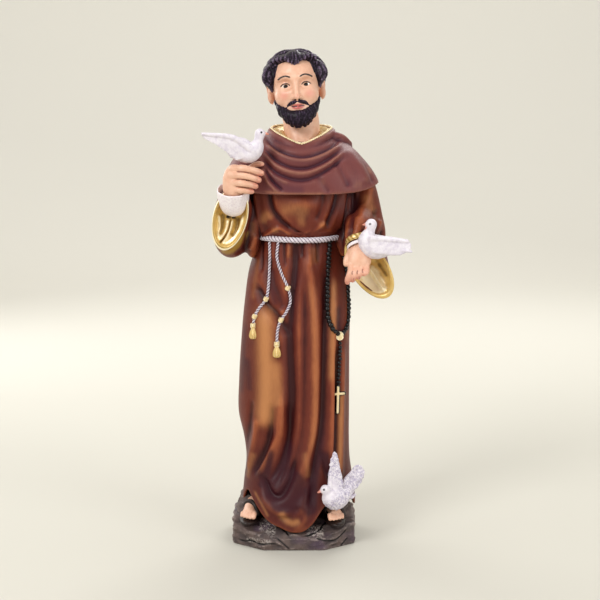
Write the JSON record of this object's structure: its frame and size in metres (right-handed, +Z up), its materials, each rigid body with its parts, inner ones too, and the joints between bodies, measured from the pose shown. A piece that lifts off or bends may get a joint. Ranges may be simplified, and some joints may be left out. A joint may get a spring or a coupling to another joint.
{
  "type": "saint francis statue",
  "caption": "Standing painted resin statue of a bearded friar in a hooded habit, with doves on the raised hand, on the lowered arm and at the feet, on a rock base.",
  "frame": {"origin": "on the ground, at the centre of the rock base's flat underside", "axes": "+Z up; the figure faces -Y; +X is to the viewer's right, the side of its lowered hand"},
  "size_m": [0.1201, 0.0784, 0.2993],
  "materials": {
    "painted_habit": "hand-painted satin reddish brown, airbrushed from dark plum in the folds to tan on the ridges",
    "painted_skin": "satin peach with a warm blush",
    "painted_hair": "satin near black, dry-brushed with grey violet",
    "painted_gold": "antique gold paint in the sleeves, the collar's trim, the knots and tassels, the medal and the cross",
    "painted_rope": "satin white with lilac shading in the twist, also on the cuffs",
    "painted_black": "satin black beads and dark sandals",
    "painted_rock": "dark grey brown, dry-brushed lighter, with black cracks",
    "painted_dove": "white with pale lilac in the feathers, pink beaks and black eyes"
  },
  "bodies": {
    "root": {"saint_figure": "painted_habit", "dove_on_raised_hand": "painted_dove", "dove_on_forearm": "painted_dove", "dove_at_feet": "painted_dove"}
  },
  "joints": []
}
